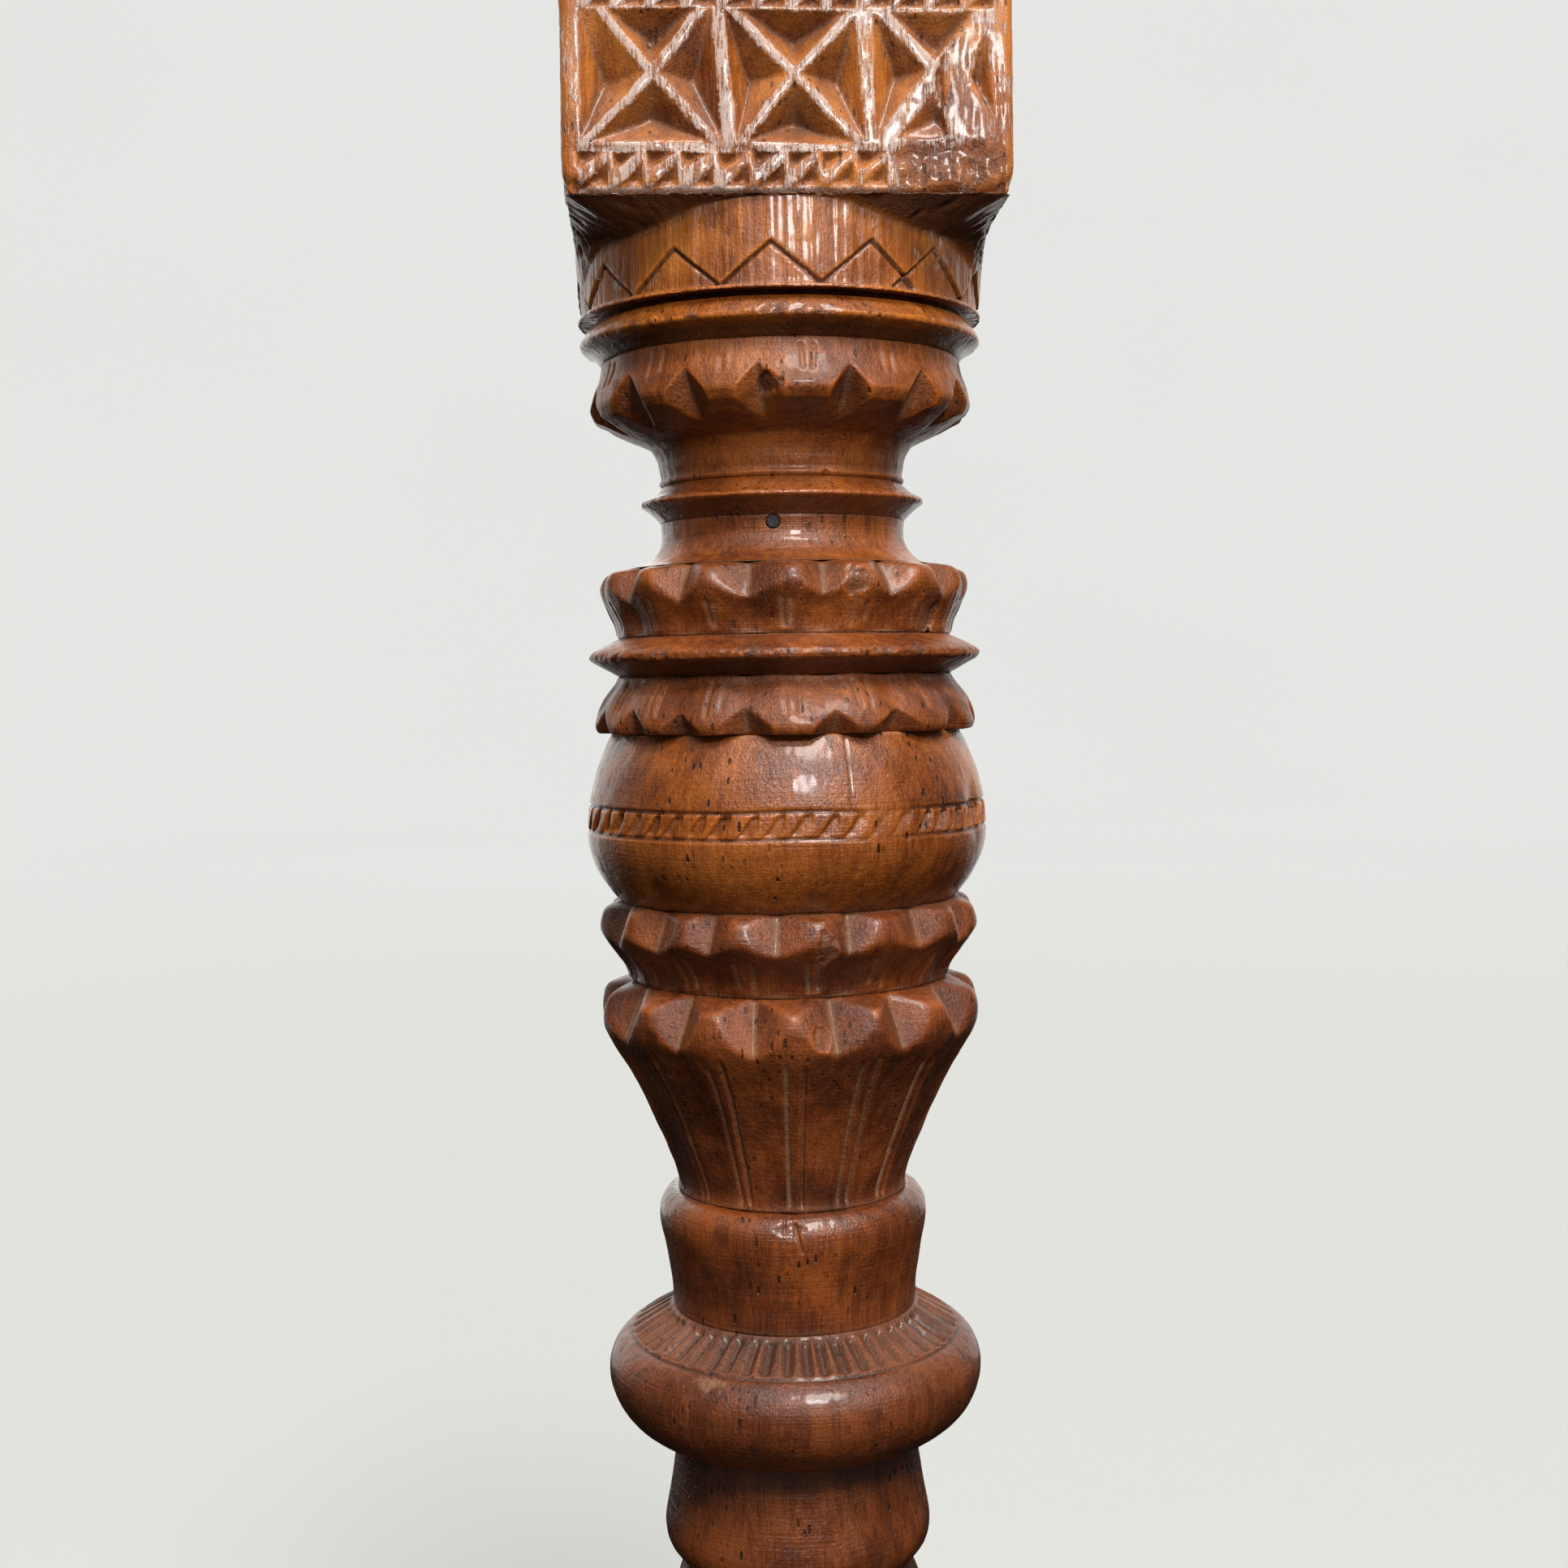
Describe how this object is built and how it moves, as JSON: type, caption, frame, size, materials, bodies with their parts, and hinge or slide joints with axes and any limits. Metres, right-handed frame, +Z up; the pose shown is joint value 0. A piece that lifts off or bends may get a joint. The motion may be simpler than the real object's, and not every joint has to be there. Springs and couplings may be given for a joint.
{
  "type": "carved wooden post",
  "caption": "Turned and chip-carved wooden post: square blocks with star chips at both ends, and lotus vases, petal rings, a belly and a torus between them on core dowels.",
  "frame": {"origin": "centre of the bottom face of the base block", "axes": "+Z up the post, -Y the front face, +X to the right seen from the front"},
  "size_m": [0.12, 0.12, 0.7206],
  "materials": {
    "block_wood": "oiled and waxed, with old whitewash left on the ridges",
    "turned_wood": "polished reddish-brown, worn lighter on the edges",
    "core_wood": "raw turned wood",
    "peg_wood": "dark end grain",
    "dark_peg": "blackened end grain"
  },
  "bodies": {
    "root": {"base_block": "block_wood", "base_drum": "turned_wood", "base_bead": "turned_wood", "base_scallop_ring": "turned_wood", "lower_vase": "turned_wood", "lower_collar": "turned_wood", "torus_ring": "turned_wood", "upper_collar": "turned_wood", "upper_vase": "turned_wood", "vase_scallop_ring": "turned_wood", "belly": "turned_wood", "petal_skirt": "turned_wood", "waist_flange": "turned_wood", "neck_scallop_ring": "turned_wood", "neck_cove": "turned_wood", "neck_ring": "turned_wood", "petal_crown": "turned_wood", "capital_bead": "turned_wood", "capital_drum": "turned_wood", "capital_block": "block_wood", "core_dowel_1": "core_wood", "core_dowel_2": "core_wood", "core_dowel_3": "core_wood", "core_dowel_4": "core_wood", "core_dowel_5": "core_wood", "base_peg": "peg_wood", "capital_peg": "peg_wood", "neck_peg": "dark_peg"}
  },
  "joints": []
}
